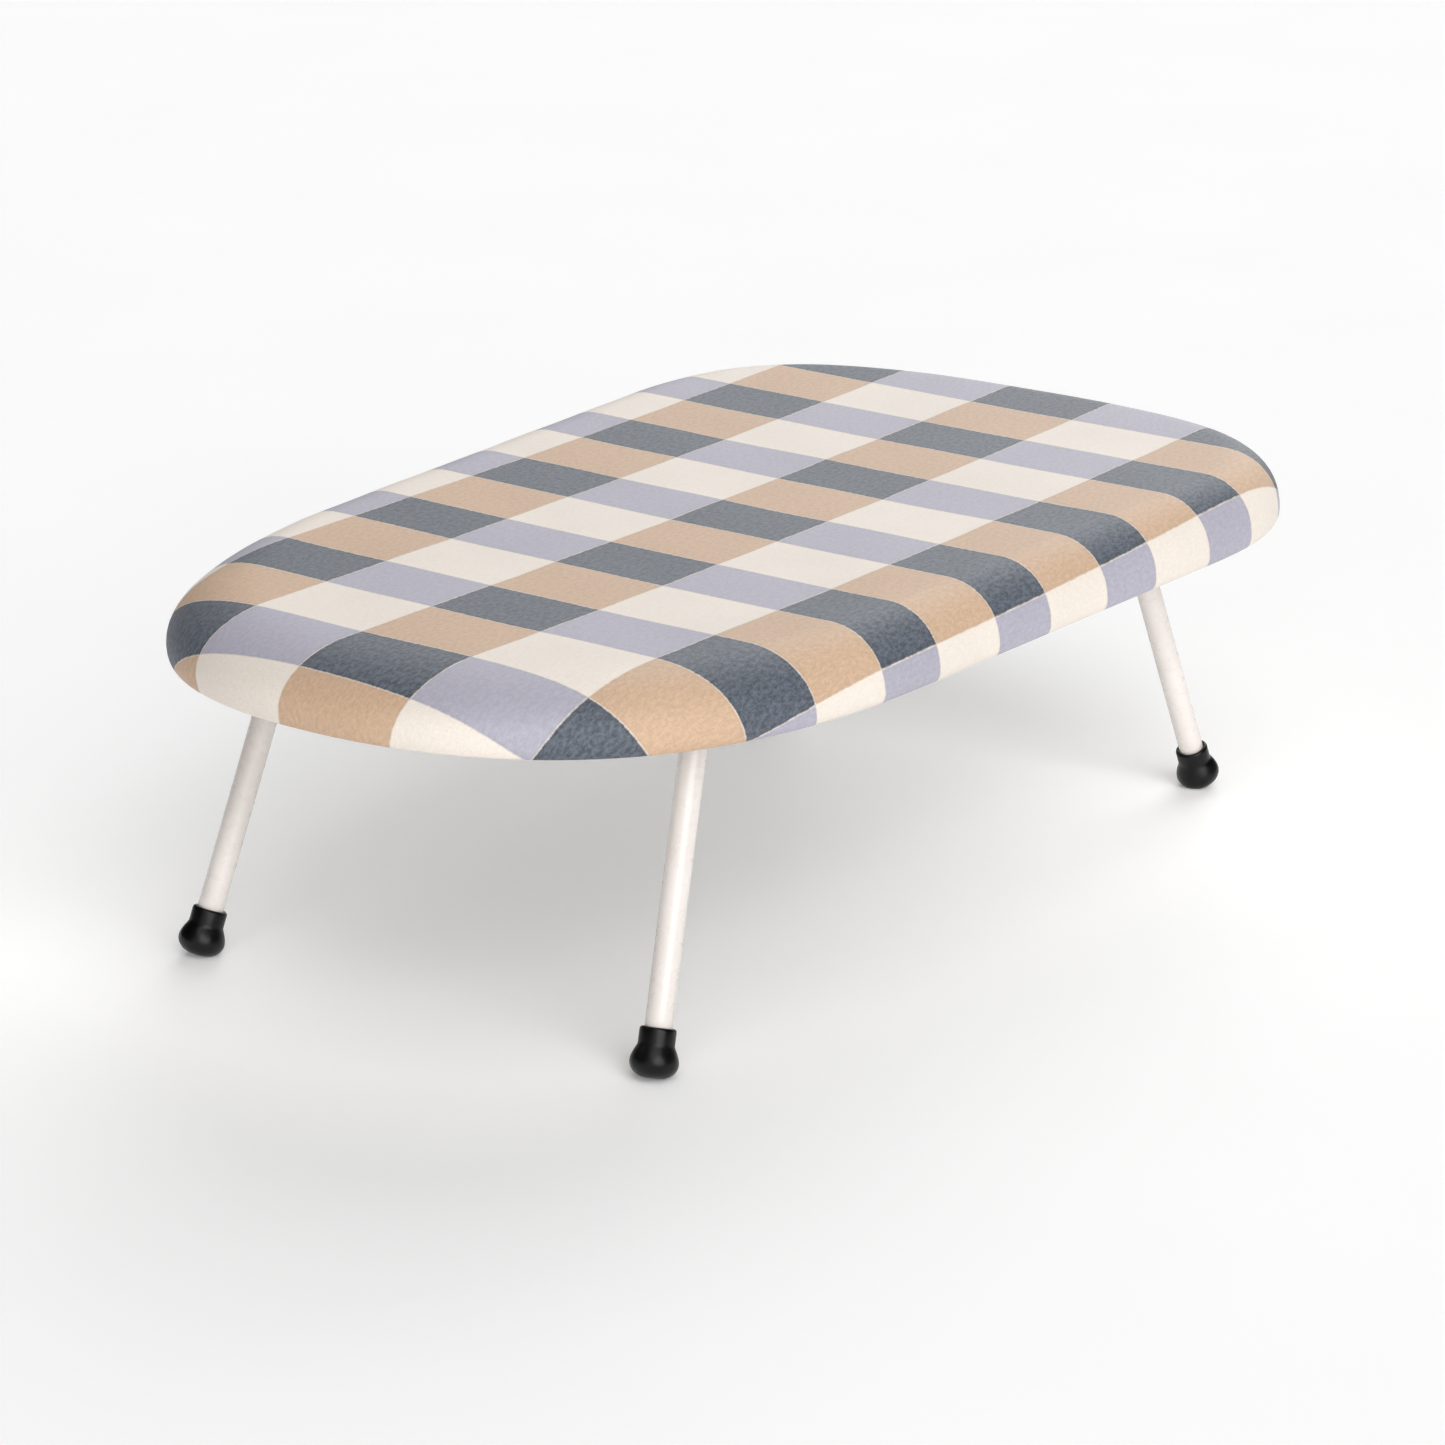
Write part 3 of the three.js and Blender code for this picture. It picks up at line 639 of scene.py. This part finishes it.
def build_elastic():
    outline = Outline(STATIONS)
    middle = casing_middle(outline)
    section = []
    for a in np.linspace(0, 2 * math.pi, 10, endpoint=False):
        section.append((ELASTIC_OFFSET + ELASTIC_RADIUS * math.cos(a),
                        middle + ELASTIC_RADIUS * math.sin(a)))
    return sweep_ring("elastic_cord", outline, section)


def build_stitching():
    """A row of lockstitches along the seam of the casing, on the underside of the hem."""
    pitch = 3.2 * MM
    length, radius = 2.3 * MM, 0.28 * MM
    outline = Outline(round(Outline(STATIONS).total / pitch))
    middles = outline.inset(SEAM_OFFSET)
    heights = hem_height(outline, SEAM_OFFSET)
    vertices, faces = [], []
    sides = 6
    for (x, y), z, (nx, ny) in zip(middles, heights, outline.normals):
        first = len(vertices)
        for along, size in ((-0.5, 0.35), (-0.32, 1), (0.32, 1), (0.5, 0.35)):
            dip = 0.2 * MM * (1 - size)
            for k in range(sides):
                a = 2 * math.pi * k / sides
                across = size * radius * math.cos(a)
                vertices.append((x + ny * along * length + nx * across,
                                 y - nx * along * length + ny * across,
                                 z + dip + size * radius * math.sin(a)))
        faces += [tuple(first + v for v in quad) for quad in ring_faces(4, sides)]
        faces.append(tuple(range(first + sides - 1, first - 1, -1)))
        faces.append(tuple(range(first + 3 * sides, first + 4 * sides)))
    return new_object("hem_stitching", vertices, faces)


def build_rim():
    """The roll-formed rim, with its open seam on the inner side."""
    outline = Outline(320)
    seam = math.radians(20)
    wall = 1.2 * MM
    section = []
    for radius, sweep in ((RIM_RADIUS, 1), (RIM_RADIUS - wall, -1)):
        for a in np.linspace(seam, 2 * math.pi - seam, 23)[::sweep]:
            section.append((RIM_OFFSET + radius * math.cos(a), RIM_Z + radius * math.sin(a)))
    return sweep_ring("rolled_rim", outline, section)


def inside(point, polygon):
    x, y = point
    a, b = polygon, np.roll(polygon, -1, axis=0)
    crosses = (a[:, 1] > y) != (b[:, 1] > y)
    a, b = a[crosses], b[crosses]
    at = a[:, 0] + (y - a[:, 1]) * (b[:, 0] - a[:, 0]) / (b[:, 1] - a[:, 1])
    return np.count_nonzero(at > x) % 2 == 1


def build_deck():
    """Expanded steel: slit and stretched sheet, so each diamond's strands lie a little tilted."""
    border = Outline(320).inset(RIM_OFFSET + 2 * MM)
    middle = (PANEL_LOW[2] + PANEL_HIGH[2]) / 2
    half_z = (PANEL_HIGH[2] - PANEL_LOW[2]) / 2
    vertices, faces = [], []

    def bar(a, b):
        along = np.array([b[0] - a[0], b[1] - a[1], 0.0])
        length = np.linalg.norm(along)
        along /= length
        side = np.array([-along[1], along[0], 0])
        lean = 0.28 * half_z * (1 if along[1] > 0 else -1)
        first = len(vertices)
        ends = ((a, -0.5 * PANEL_STRAND), (b, 0.5 * PANEL_STRAND))
        for end, past in ends:
            centre = np.array([end[0], end[1], middle]) + along * past * 0.6
            for across, up in ((-1, -1), (1, -1), (1, 1), (-1, 1)):
                tilt = lean * across
                corner = centre + side * across * PANEL_STRAND / 2
                corner[2] += up * half_z * 0.72 + tilt
                vertices.append(corner)
        for k in range(4):
            j = (k + 1) % 4
            faces.append((first + k, first + j, first + 4 + j, first + 4 + k))
        faces.append((first + 3, first + 2, first + 1, first))
        faces.append((first + 4, first + 5, first + 6, first + 7))

    def clipped(a, b):
        """The end of the strand from a towards b where it reaches the border."""
        low, high = 0.0, 1.0
        for _ in range(12):
            t = (low + high) / 2
            if inside((a[0] + (b[0] - a[0]) * t, a[1] + (b[1] - a[1]) * t), border):
                low = t
            else:
                high = t
        return (a[0] + (b[0] - a[0]) * low, a[1] + (b[1] - a[1]) * low)

    columns = int(TAIL_X / DIAMOND_X * 2) + 2
    rows = int(HALF_WIDTH * 1.2 / DIAMOND_Y * 2) + 2
    for i in range(-columns, columns):
        for j in range(-rows, rows):
            if (i + j) % 2:
                continue
            a = (i * DIAMOND_X / 2, j * DIAMOND_Y / 2)
            for step in (-1, 1):
                b = ((i + 1) * DIAMOND_X / 2, (j + step) * DIAMOND_Y / 2)
                a_in, b_in = inside(a, border), inside(b, border)
                if a_in and b_in:
                    bar(a, b)
                elif a_in:
                    bar(a, clipped(a, b))
                elif b_in:
                    bar(clipped(b, a), b)
    return new_object("expanded_deck", vertices, faces, smooth=False)


# ---- leg frames ----
TUBE_RADIUS = 6 * MM
LEG_LEAN = math.radians(20.3)
LEG_HALF_WIDTH_TOP = 110.8 * MM
LEG_HALF_WIDTH_FLOOR = 126.5 * MM
BEND_RADIUS = 22 * MM
FOOT_LIFT = 0.6 * MM  # the sole's centre, above the floor, before the sole is cut level
BORE_TOP = 21.6 * MM  # the foot's bore, above the sole
BORE_FLOOR = 8 * MM
TUBE_END = 6 * MM  # above the sole, pressed a little into the rubber


class LegFrame:
    """One bent tube. Its own axes: the pivot at the origin, legs down -Z, +Y across."""

    def __init__(self, end, outward):
        joint = JOINTS[f"{end}_leg_fold"]
        low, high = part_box(f"{end}_bush_left")
        self.end = end
        self.pivot = Vector(((low[0] + high[0]) / 2, 0, (low[2] + high[2]) / 2))
        self.body = joint["child"]
        drop = self.pivot.z / math.cos(LEG_LEAN)
        spread = LEG_HALF_WIDTH_FLOOR - LEG_HALF_WIDTH_TOP
        self.direction = Vector((0, spread, -drop)).normalized()
        self.splay = math.atan2(self.direction.y, -self.direction.z)
        self.length = (drop - FOOT_LIFT / math.cos(LEG_LEAN)) / math.cos(self.splay)
        turn = Matrix.Rotation(-outward * LEG_LEAN, 4, "Y")
        self.matrix = Matrix.Translation(self.pivot) @ turn

    def leg_point(self, distance, side):
        p = Vector((0, LEG_HALF_WIDTH_TOP, 0)) + self.direction * distance
        return Vector((0, side * p.y, p.z))

    def path(self, bend_steps=20):
        turn = math.pi / 2 - self.splay
        tangent = BEND_RADIUS * math.tan(turn / 2)
        half = []
        centre_y = LEG_HALF_WIDTH_TOP - tangent
        for k in range(bend_steps + 1):
            a = k / bend_steps * turn
            y = centre_y + BEND_RADIUS * math.sin(a)
            half.append(Vector((0, y, BEND_RADIUS * (math.cos(a) - 1))))
        for distance in np.linspace(0.3, 1, 6):
            half.append(self.leg_point((self.length - TUBE_END) * distance, 1))
        mirrored = [Vector((0, -p.y, p.z)) for p in reversed(half)]
        bar = [Vector((0, centre_y * t, 0)) for t in np.linspace(-0.8, 0.8, 7)]
        return mirrored + bar + half

    def tube(self, sides=32):
        path = self.path()
        forward = Vector((1, 0, 0))
        vertices = []
        for i, p in enumerate(path):
            back = path[max(i - 1, 0)]
            ahead = path[min(i + 1, len(path) - 1)]
            along = (ahead - back).normalized()
            across = along.cross(forward).normalized()
            for k in range(sides):
                a = 2 * math.pi * k / sides
                vertices.append(p + TUBE_RADIUS * (math.cos(a) * across + math.sin(a) * forward))
        faces = ring_faces(len(path), sides, flip=True)
        faces.append(tuple(range(sides)))
        last = (len(path) - 1) * sides
        faces.append(tuple(range(last + sides - 1, last - 1, -1)))
        tube = new_object(f"{self.end}_leg_tube", vertices, faces)
        place(tube, self.matrix)
        return tube

    def foot(self, side, label):
        profile = foot_profile()
        foot = lathe(f"{self.end}_rubber_foot_{label}", profile)
        up = Vector((0, -side * self.direction.y, -self.direction.z))
        turn = Vector((0, 0, 1)).rotation_difference(up).to_matrix().to_4x4()
        place(foot, self.matrix @ Matrix.Translation(self.leg_point(self.length, side)) @ turn)
        for vertex in foot.data.vertices:
            vertex.co.z = max(vertex.co.z, 0.0)
        return foot


def foot_profile():
    """Radius and height of the rubber foot: a collar, a round shoulder, a bulb and a domed sole."""
    sole = [(0, 0), (3.0, 0.15), (5.2, 0.5), (6.6, 1.05), (7.9, 1.8), (9.0, 2.8), (9.9, 4.0)]
    bulb = [(10.45, 5.3), (10.7, 6.7), (10.6, 8.1), (10.2, 9.6), (9.65, 11.0), (9.0, 12.4)]
    shoulder = [(8.4, 13.5), (8.05, 14.4)]
    collar = [(8.0, 15.4), (8.0, 20.6), (7.85, 21.3), (7.4, 21.8), (6.8, 22.0)]
    outside = [(r * MM, z * MM) for r, z in sole + bulb + shoulder + collar]
    bore = TUBE_RADIUS + 0.15 * MM
    return outside + [(bore, BORE_TOP), (bore, BORE_FLOOR), (0, BORE_FLOOR)]


def add_leg_frame(end, outward, coat, rubber):
    legs = LegFrame(end, outward)
    tube = legs.tube()
    tube.data.materials.append(coat)
    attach(tube, legs.body)
    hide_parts(f"{end}_leg_frame")
    for label, side in (("left", -1), ("right", 1)):
        foot = legs.foot(side, label)
        foot.data.materials.append(rubber)
        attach(foot, legs.body)
        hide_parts(f"{end}_foot_{label}")


def finish_cad_node(name, material, bevel):
    """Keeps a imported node's shape, rounds its edges a little and gives it its finish."""
    obj = frame["nodes"][name]
    for slot in obj.material_slots:
        slot.material = material
    edge = obj.modifiers.new("edge", "BEVEL")
    edge.width = bevel
    edge.segments = 2
    edge.limit_method = "ANGLE"


# ---- studio ----
BACKDROP_LIGHT = 0.03  # strength of the backdrop as a light, and as the camera sees it
BACKDROP_SEEN = 0.95
FLOOR_HALF_SIZE = 20.0
FLOOR_GLOW = 0.14
LENS_MM = 119.71
SENSOR_MM = 36
CAMERA_PLACE = Vector((-1.7694, -1.2238, 0.7844))
CAMERA_AZIMUTH = -145.3705  # degrees: the side of the board that the camera stands on
CAMERA_ELEVATION = 18.2927
CAMERA_ROLL = 0.2836


def direction(azimuth, elevation):
    a, e = math.radians(azimuth), math.radians(elevation)
    return Vector((math.cos(e) * math.cos(a), math.cos(e) * math.sin(a), math.sin(e)))


def add_sun(name, azimuth, elevation, strength, spread):
    """A very soft lamp. Azimuth and elevation, in degrees, say where its light comes from."""
    light = bpy.data.lights.new(name, "SUN")
    light.energy = strength
    light.angle = math.radians(spread)
    obj = bpy.data.objects.new(name, light)
    obj.rotation_euler = direction(azimuth, elevation).to_track_quat("Z", "Y").to_euler()
    bpy.context.scene.collection.objects.link(obj)


def build_studio():
    scene = bpy.context.scene
    scene.view_settings.view_transform = "Standard"
    world = bpy.data.worlds.new("studio")
    scene.world = world
    world.use_nodes = True
    background = world.node_tree.nodes["Background"]
    background.inputs["Color"].default_value = (1.0, 1.0, 1.0, 1)
    # a white backdrop that adds almost no light of its own, so that the softboxes shape the piece
    seen = world.node_tree.nodes.new("ShaderNodeLightPath").outputs["Is Camera Ray"]
    level = world.node_tree.nodes.new("ShaderNodeMapRange")
    level.inputs["To Min"].default_value = BACKDROP_LIGHT
    level.inputs["To Max"].default_value = BACKDROP_SEEN
    world.node_tree.links.new(seen, level.inputs["Value"])
    world.node_tree.links.new(level.outputs["Result"], background.inputs["Strength"])

    # a large low softbox in front with two weaker fills, and raking lights from behind
    add_sun("key", -120, 25, 1.8, 50)
    add_sun("side_fill", -160, 15, 0.45, 50)
    add_sun("high_fill", -130, 60, 1.0, 50)
    add_sun("back", 20, 38, 1.05, 45)
    add_sun("low_back", 20, 20, 0.7, 35)

    size = FLOOR_HALF_SIZE
    corners = [(-size, -size, 0), (size, -size, 0), (size, size, 0), (-size, size, 0)]
    floor = new_object("floor", corners, [(0, 1, 2, 3)], smooth=False)
    n = Nodes("floor_paint")
    speck = n.noise(n.object_place(), 6, 2)
    color = n.mix(speck, (0.93, 0.93, 0.93, 1), (0.96, 0.96, 0.96, 1))
    n.shader.inputs["Emission Color"].default_value = (1, 1, 1, 1)
    n.shader.inputs["Emission Strength"].default_value = FLOOR_GLOW
    floor.data.materials.append(n.finish(color=color, roughness=0.9, specular=0.1))


def build_camera():
    camera_data = bpy.data.cameras.new("camera")
    camera_data.lens = LENS_MM
    camera_data.sensor_width = SENSOR_MM
    camera = bpy.data.objects.new("camera", camera_data)
    bpy.context.scene.collection.objects.link(camera)
    back = direction(CAMERA_AZIMUTH, CAMERA_ELEVATION)
    right = direction(CAMERA_AZIMUTH + 90, 0)
    level = Matrix((right, back.cross(right), back)).transposed().to_4x4()
    roll = Matrix.Rotation(math.radians(CAMERA_ROLL), 4, "Z")
    camera.matrix_world = Matrix.Translation(CAMERA_PLACE) @ level @ roll
    bpy.context.scene.camera = camera


# ---- assembly ----
build_camera()
build_studio()

cotton = checked_cotton()
felt = felt_pad()
deck_zinc = zinc_steel("deck_zinc", (0.60, 0.61, 0.62, 1), (0.42, 0.43, 0.44, 1), 0.42)
rivet_zinc = zinc_steel("rivet_zinc", (0.55, 0.56, 0.57, 1), (0.36, 0.36, 0.37, 1), 0.34)
bush_plastic = moulded("bush_plastic", srgb(34, 35, 38), srgb(60, 61, 64), 0.48, 1500, 0.15)
rubber = moulded("black_rubber", srgb(5, 5, 6), srgb(13, 13, 14), 0.34, 1200, 0.1)
coat = powder_coat()

cover = build_cover()
cover.data.materials.append(cotton)
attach(cover, "board")
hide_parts("fabric_cover")

stitching = build_stitching()
stitching.data.materials.append(cotton_thread())
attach(stitching, "board")

pad = build_pad()
pad.data.materials.append(felt)
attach(pad, "board")
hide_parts("foam_pad")

elastic = build_elastic()
elastic.data.materials.append(braided_elastic())
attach(elastic, "board")
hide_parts("hem_elastic")

rim = build_rim()
rim.data.materials.append(deck_zinc)
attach(rim, "board")
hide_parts("rim_tube")

deck = build_deck()
deck.data.materials.append(deck_zinc)
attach(deck, "board")
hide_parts("mesh_panel")

for end, outward in (("nose", -1), ("tail", 1)):
    add_leg_frame(end, outward, coat, rubber)
    finish_cad_node(f"{end}_pivot_strap", deck_zinc, 0.4 * MM)
    finish_cad_node(f"{end}_rest_strap", deck_zinc, 0.4 * MM)
    for side in ("left", "right"):
        finish_cad_node(f"{end}_saddle_{side}", deck_zinc, 0.3 * MM)
        finish_cad_node(f"{end}_bush_{side}", bush_plastic, 0.3 * MM)
        for where in ("outer", "inner"):
            finish_cad_node(f"{end}_rivet_{side}_{where}", rivet_zinc, 0.15 * MM)
